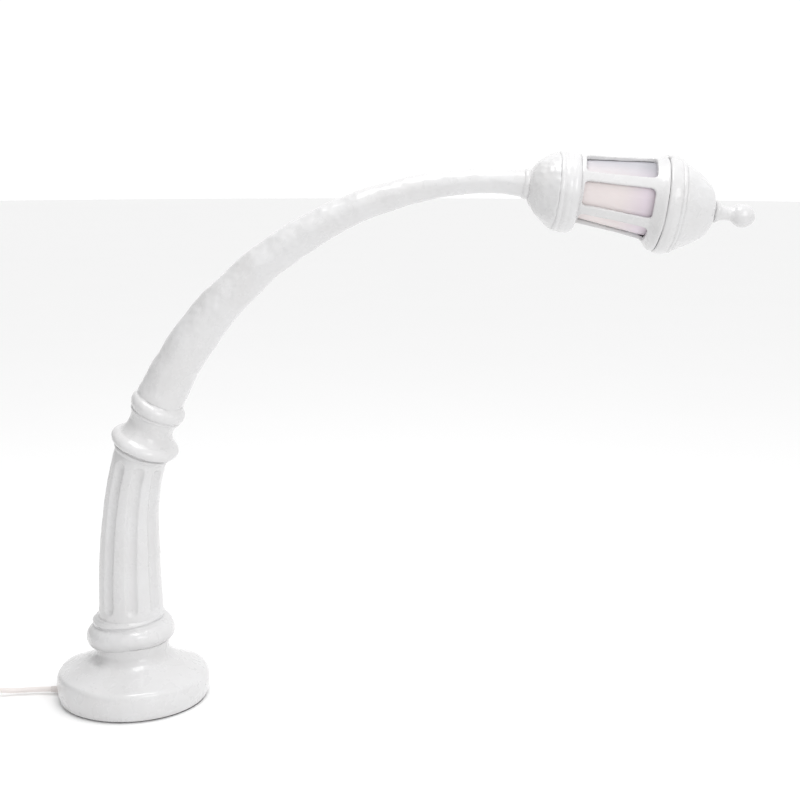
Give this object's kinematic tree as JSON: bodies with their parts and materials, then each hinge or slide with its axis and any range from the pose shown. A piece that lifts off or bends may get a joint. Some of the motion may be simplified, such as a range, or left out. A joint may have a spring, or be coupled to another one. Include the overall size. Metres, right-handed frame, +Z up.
{
  "type": "arc lamp",
  "caption": "White cast-resin lamp shaped like a bent street lantern: round weighted foot, fluted column, arching arm and a hanging lantern with a pull-off cap.",
  "frame": {"origin": "centre of the foot's rest face on the floor", "axes": "+Z up the column, +X the way the arm bends, so that the arm and the lantern lie in the XZ plane"},
  "size_m": [1.2275, 0.2052, 0.7321],
  "materials": {
    "white_resin": "gloss",
    "black_rubber": "matte",
    "plated_steel": "satin",
    "screw_steel": "satin",
    "cast_iron": "matte",
    "opal_diffuser": "satin",
    "white_thermoset": "satin",
    "brass": "satin",
    "bulb_glass": "satin",
    "nickel": "satin",
    "spigot_plastic": "satin",
    "lead_sheath": "satin",
    "lead_fittings": "satin",
    "rocker_plastic": "gloss",
    "tie_black": "satin",
    "pin_metal": "polished"
  },
  "bodies": {
    "lamp": {"arm": "white_resin", "ballast": "cast_iron", "base_plate": "plated_steel", "base_screws": "screw_steel", "capital": "white_resin", "clamp_screws": "screw_steel", "coil_tie": "tie_black", "cord_clamp": "white_thermoset", "cord_coil": "lead_sheath", "cord_to_coil": "lead_sheath", "cord_to_plug": "lead_sheath", "cord_to_switch": "lead_sheath", "core_tube": "plated_steel", "diffuser": "opal_diffuser", "flange_screws": "screw_steel", "fluted_shaft": "white_resin", "foot_pad": "black_rubber", "holder_nipple": "brass", "holder_plate": "plated_steel", "inner_lead": "lead_sheath", "lampholder_body": "white_thermoset", "lampholder_cap": "white_thermoset", "lampholder_contact": "brass", "lantern_bell": "white_resin", "lantern_cage": "white_resin", "lantern_collar": "white_resin", "lead_in_base": "lead_sheath", "lower_moulding": "white_resin", "main_ring": "white_resin", "plinth": "white_resin", "plug_body": "lead_fittings", "plug_boot": "lead_fittings", "plug_pins": "pin_metal", "reducer_bush": "brass", "strain_relief": "lead_fittings", "switch_base": "lead_fittings", "switch_cover": "lead_fittings", "switch_screws": "screw_steel", "terminal_block": "white_thermoset", "terminal_screws": "brass", "tube_flange": "plated_steel", "tube_nut_inner": "plated_steel", "tube_nut_outer": "plated_steel", "wiring_cover": "white_resin"},
    "cap": {"lantern_cap": "white_resin", "cap_spigot": "spigot_plastic", "cap_seal_ring": "black_rubber", "finial": "white_resin", "finial_stud": "plated_steel", "finial_nut": "plated_steel"},
    "bulb": {"bulb_glass": "bulb_glass", "bulb_screw_cap": "nickel", "bulb_contact": "brass"},
    "rocker": {"switch_rocker": "rocker_plastic"}
  },
  "joints": [
    {"name": "cap_pull", "type": "slide", "parent": "lamp", "child": "cap", "axis": [0.9895, 0, -0.1444], "range_m": [0, 0.08]},
    {"name": "bulb_turn", "type": "hinge", "parent": "lamp", "child": "bulb", "pos_m": [0.5244, 0, 0.693], "axis": [0.9895, 0, -0.1444], "range_deg": [0, 1440]},
    {"name": "switch_rock", "type": "hinge", "parent": "lamp", "child": "rocker", "pos_m": [-0.237, -0.01, 0.0155], "axis": [0, 1, 0], "range_deg": [0, 16]}
  ]
}
